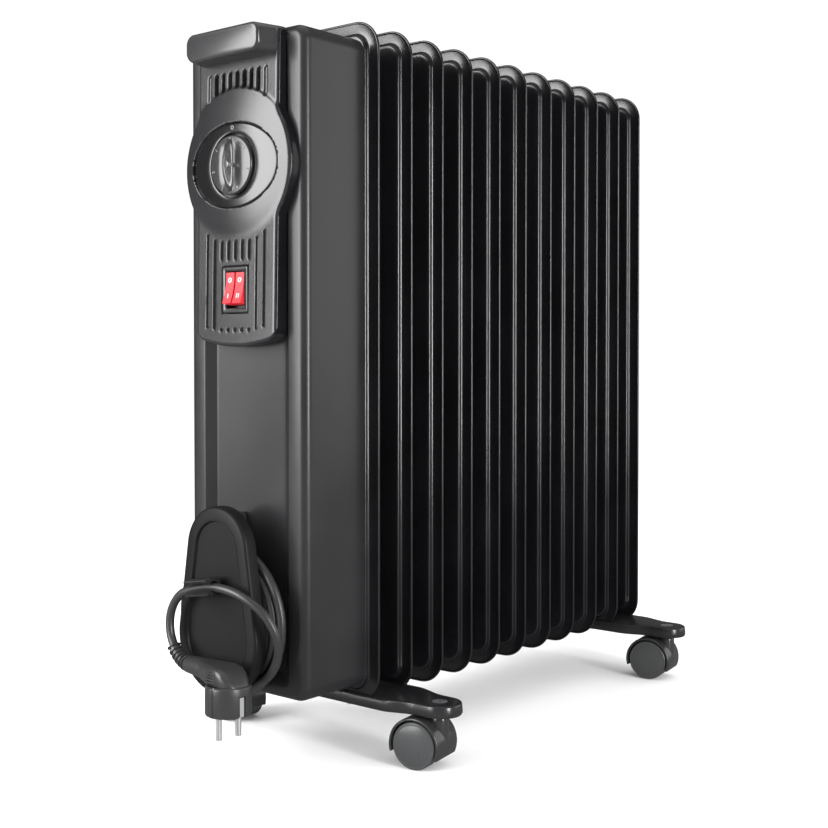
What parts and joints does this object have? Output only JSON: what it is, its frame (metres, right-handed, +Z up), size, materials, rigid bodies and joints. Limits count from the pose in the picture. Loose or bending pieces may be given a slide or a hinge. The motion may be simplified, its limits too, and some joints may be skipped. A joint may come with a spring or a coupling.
{
  "type": "oil filled radiator heater",
  "caption": "Oil filled column radiator on casters, with a front control panel, thermostat knob, red rocker switches and a cord winder.",
  "frame": {"origin": "on the floor, under the middle of the heater without its cord", "axes": "+X across the width, to the right seen from the control end; +Y from the control end to the rear; +Z up"},
  "size_m": [0.299, 0.5888, 0.628],
  "materials": {
    "black_paint": "satin",
    "grey_paint": "satin",
    "black_plastic": "satin",
    "soft_black_plastic": "matte",
    "red_plastic": "gloss",
    "white_plastic": "matte",
    "wire_sleeve": "matte",
    "black_rubber": "matte",
    "plated_steel": "satin",
    "brass_nut": "satin"
  },
  "bodies": {
    "heater": {"fin_01": "black_paint", "fin_02": "black_paint", "fin_03": "black_paint", "fin_04": "black_paint", "fin_05": "black_paint", "fin_06": "black_paint", "fin_07": "black_paint", "fin_08": "black_paint", "fin_09": "black_paint", "fin_10": "black_paint", "fin_11": "black_paint", "upper_header": "black_paint", "lower_header": "black_paint", "heating_element": "plated_steel", "element_nut": "brass_nut", "element_gasket": "black_rubber", "filler_plug": "plated_steel", "front_cover": "grey_paint", "cover_bracket": "grey_paint", "cover_screws": "plated_steel", "control_panel": "black_plastic", "panel_screws": "plated_steel", "thermostat_body": "white_plastic", "switch_body": "soft_black_plastic", "thermal_cutout": "white_plastic", "terminal_block": "white_plastic", "wire_loom": "wire_sleeve", "winder_spool": "black_plastic", "winder_plate": "black_plastic", "winder_screws": "plated_steel", "cord_gland": "black_rubber", "cord_coil": "black_rubber", "cord_tail": "black_rubber", "plug_body": "black_rubber", "plug_pins": "plated_steel", "foot_bar_front": "black_plastic", "foot_bar_rear": "black_plastic", "u_bolts": "plated_steel", "wing_nuts": "plated_steel"},
    "knob": {"control_knob": "soft_black_plastic", "thermostat_shaft": "plated_steel"},
    "rocker_l": {"rocker_left": "red_plastic"},
    "rocker_r": {"rocker_right": "red_plastic"},
    "caster_fr": {"caster_hood_fr": "black_plastic", "caster_pins_fr": "plated_steel"},
    "wheel_body_fr_a": {"wheel_fr_a": "soft_black_plastic"},
    "wheel_body_fr_b": {"wheel_fr_b": "soft_black_plastic"},
    "caster_fl": {"caster_hood_fl": "black_plastic", "caster_pins_fl": "plated_steel"},
    "wheel_body_fl_a": {"wheel_fl_a": "soft_black_plastic"},
    "wheel_body_fl_b": {"wheel_fl_b": "soft_black_plastic"},
    "caster_rr": {"caster_hood_rr": "black_plastic", "caster_pins_rr": "plated_steel"},
    "wheel_body_rr_a": {"wheel_rr_a": "soft_black_plastic"},
    "wheel_body_rr_b": {"wheel_rr_b": "soft_black_plastic"},
    "caster_rl": {"caster_hood_rl": "black_plastic", "caster_pins_rl": "plated_steel"},
    "wheel_body_rl_a": {"wheel_rl_a": "soft_black_plastic"},
    "wheel_body_rl_b": {"wheel_rl_b": "soft_black_plastic"}
  },
  "joints": [
    {"name": "knob_turn", "type": "hinge", "parent": "heater", "child": "knob", "pos_m": [0, -0.249, 0.502], "axis": [0, 1, 0], "range_deg": [0, 308]},
    {"name": "rocker_l_tilt", "type": "hinge", "parent": "heater", "child": "rocker_l", "pos_m": [-0.0058, -0.238, 0.3994], "axis": [1, 0, 0], "range_deg": [0, 22]},
    {"name": "rocker_r_tilt", "type": "hinge", "parent": "heater", "child": "rocker_r", "pos_m": [0.0058, -0.238, 0.3994], "axis": [1, 0, 0], "range_deg": [0, 22]},
    {"name": "swivel_fr", "type": "hinge", "parent": "heater", "child": "caster_fr", "pos_m": [0.13, -0.1343, 0.045], "axis": [0, 0, 1], "continuous": true},
    {"name": "roll_fr_a", "type": "hinge", "parent": "caster_fr", "child": "wheel_body_fr_a", "pos_m": [0.11611, -0.14766, 0.02], "axis": [-0.1736, 0.9848, 0], "continuous": true},
    {"name": "roll_fr_b", "type": "hinge", "parent": "caster_fr", "child": "wheel_body_fr_b", "pos_m": [0.11238, -0.12649, 0.02], "axis": [-0.1736, 0.9848, 0], "continuous": true},
    {"name": "swivel_fl", "type": "hinge", "parent": "heater", "child": "caster_fl", "pos_m": [-0.13, -0.1343, 0.045], "axis": [0, 0, 1], "continuous": true},
    {"name": "roll_fl_a", "type": "hinge", "parent": "caster_fl", "child": "wheel_body_fl_a", "pos_m": [-0.11238, -0.12649, 0.02], "axis": [-0.1736, -0.9848, 0], "continuous": true},
    {"name": "roll_fl_b", "type": "hinge", "parent": "caster_fl", "child": "wheel_body_fl_b", "pos_m": [-0.11611, -0.14766, 0.02], "axis": [-0.1736, -0.9848, 0], "continuous": true},
    {"name": "swivel_rr", "type": "hinge", "parent": "heater", "child": "caster_rr", "pos_m": [0.13, 0.2563, 0.045], "axis": [0, 0, 1], "continuous": true},
    {"name": "roll_rr_a", "type": "hinge", "parent": "caster_rr", "child": "wheel_body_rr_a", "pos_m": [0.11611, 0.24294, 0.02], "axis": [-0.1736, 0.9848, 0], "continuous": true},
    {"name": "roll_rr_b", "type": "hinge", "parent": "caster_rr", "child": "wheel_body_rr_b", "pos_m": [0.11238, 0.26411, 0.02], "axis": [-0.1736, 0.9848, 0], "continuous": true},
    {"name": "swivel_rl", "type": "hinge", "parent": "heater", "child": "caster_rl", "pos_m": [-0.13, 0.2563, 0.045], "axis": [0, 0, 1], "continuous": true},
    {"name": "roll_rl_a", "type": "hinge", "parent": "caster_rl", "child": "wheel_body_rl_a", "pos_m": [-0.11238, 0.26411, 0.02], "axis": [-0.1736, -0.9848, 0], "continuous": true},
    {"name": "roll_rl_b", "type": "hinge", "parent": "caster_rl", "child": "wheel_body_rl_b", "pos_m": [-0.11611, 0.24294, 0.02], "axis": [-0.1736, -0.9848, 0], "continuous": true}
  ]
}
